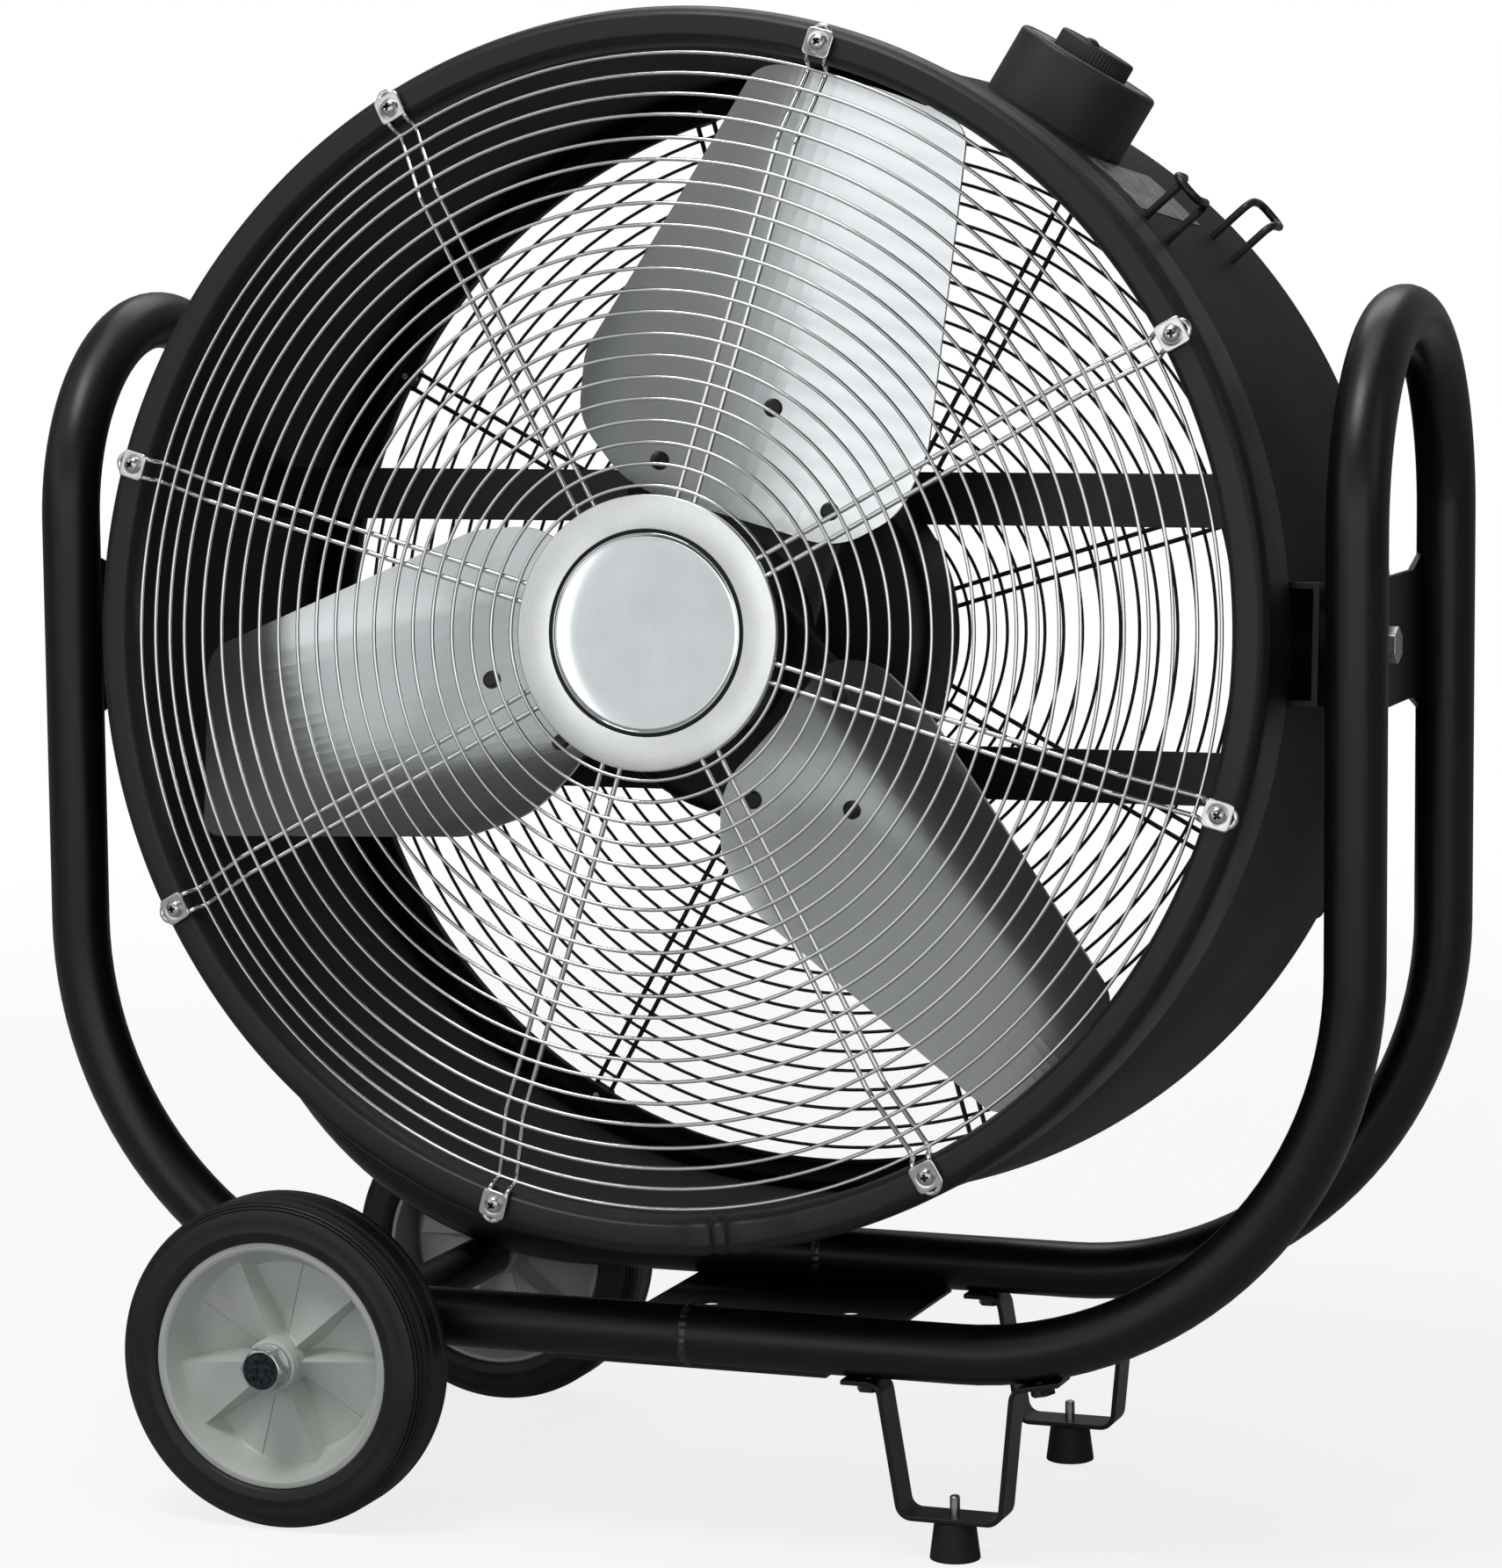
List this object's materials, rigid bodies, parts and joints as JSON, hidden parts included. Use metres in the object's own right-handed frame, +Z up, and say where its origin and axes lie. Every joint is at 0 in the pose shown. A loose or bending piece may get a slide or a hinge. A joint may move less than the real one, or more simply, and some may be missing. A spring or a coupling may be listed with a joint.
{
  "type": "drum fan",
  "caption": "Large drum fan on a tube frame with side loops, two wheels, two feet, a tilting drum and a speed knob.",
  "frame": {"origin": "on the floor under the middle of the drum", "axes": "+X to the right as seen from the front, +Y from the front grille to the back, +Z up"},
  "size_m": [0.83, 0.4056, 0.8958],
  "materials": {
    "frame_black": "satin powder coat on steel",
    "drum_black": "satin paint on rolled steel sheet",
    "motor_black": "black coated cast aluminium",
    "black_steel": "black oxide steel",
    "zinc_steel": "bright zinc plate",
    "badge_steel": "brushed and polished stainless steel",
    "bright_wire": "polished stainless wire",
    "dark_wire": "black coated steel wire and sheet",
    "blade_aluminium": "bare matt aluminium sheet",
    "spider_aluminium": "black coated cast aluminium",
    "plate_aluminium": "satin aluminium foil plate",
    "stator_iron": "laminated iron",
    "tyre_rubber": "matt solid rubber",
    "black_rubber": "matt moulded rubber",
    "sheath_rubber": "smooth soft sheath",
    "hub_plastic": "moulded light grey plastic",
    "nylon": "natural nylon",
    "housing_plastic": "moulded blue-black plastic",
    "face_plastic": "grey plastic plate",
    "capacitor_plastic": "moulded dark plastic"
  },
  "bodies": {
    "carriage": {"frame_half_left": "frame_black", "frame_half_right": "frame_black", "joint_sleeves": "frame_black", "side_plates": "frame_black", "base_plate": "frame_black", "axle_tube": "frame_black", "axle_plugs": "nylon", "axle_rod": "zinc_steel", "axle_spacers": "zinc_steel", "axle_nuts": "zinc_steel", "foot_brackets": "frame_black", "bracket_bolts": "black_steel", "rubber_feet": "black_rubber", "foot_studs": "zinc_steel"},
    "wheel_front": {"tyre_front": "tyre_rubber", "hub_front": "hub_plastic", "bush_front": "nylon"},
    "wheel_rear": {"tyre_rear": "tyre_rubber", "hub_rear": "hub_plastic", "bush_rear": "nylon"},
    "drum": {"drum_shell": "drum_black", "rim_sheath": "sheath_rubber", "front_grille_rings": "bright_wire", "front_grille_spokes": "bright_wire", "rear_grille_rings": "dark_wire", "rear_grille_spokes": "dark_wire", "rear_centre_plate": "dark_wire", "grille_clips": "zinc_steel", "clip_screws": "zinc_steel", "badge_ring": "badge_steel", "badge_disc": "badge_steel", "badge_back_plate": "dark_wire", "struts": "frame_black", "strut_bolts": "zinc_steel", "motor_housing": "motor_black", "motor_end_cap": "motor_black", "motor_bearings": "zinc_steel", "motor_stator": "stator_iron", "capacitor": "capacitor_plastic", "pivot_channels": "frame_black", "pivot_bolts": "zinc_steel", "pivot_nuts": "zinc_steel", "pivot_spacers": "nylon", "pivot_washers": "zinc_steel", "cord_hooks": "dark_wire", "rating_plate": "plate_aluminium", "control_housing": "housing_plastic", "control_face": "face_plastic", "rotary_switch": "capacitor_plastic", "cable_gland": "housing_plastic"},
    "fan": {"fan_spider": "spider_aluminium", "blade_1": "blade_aluminium", "blade_2": "blade_aluminium", "blade_3": "blade_aluminium", "blade_bolts": "black_steel", "fan_shaft": "zinc_steel", "motor_rotor": "stator_iron", "shaft_nut": "zinc_steel"},
    "knob": {"speed_knob": "housing_plastic", "knob_spindle": "zinc_steel"}
  },
  "joints": [
    {"name": "drum_tilt", "type": "hinge", "parent": "carriage", "child": "drum", "pos_m": [0, 0, 0.52697], "axis": [1, 0, 0], "range_deg": [-90, 90]},
    {"name": "fan_spin", "type": "hinge", "parent": "drum", "child": "fan", "pos_m": [0, 0, 0.52697], "axis": [0, 0.9972, -0.075], "continuous": true},
    {"name": "speed_knob_turn", "type": "hinge", "parent": "drum", "child": "knob", "pos_m": [0.20403, 0.02536, 0.86425], "axis": [0.5165, 0.0642, 0.8539], "range_deg": [0, 270]},
    {"name": "wheel_front_spin", "type": "hinge", "parent": "carriage", "child": "wheel_front", "pos_m": [-0.24091, -0.169, 0.1], "axis": [0, 1, 0], "continuous": true},
    {"name": "wheel_rear_spin", "type": "hinge", "parent": "carriage", "child": "wheel_rear", "pos_m": [-0.24091, 0.169, 0.1], "axis": [0, 1, 0], "continuous": true}
  ]
}
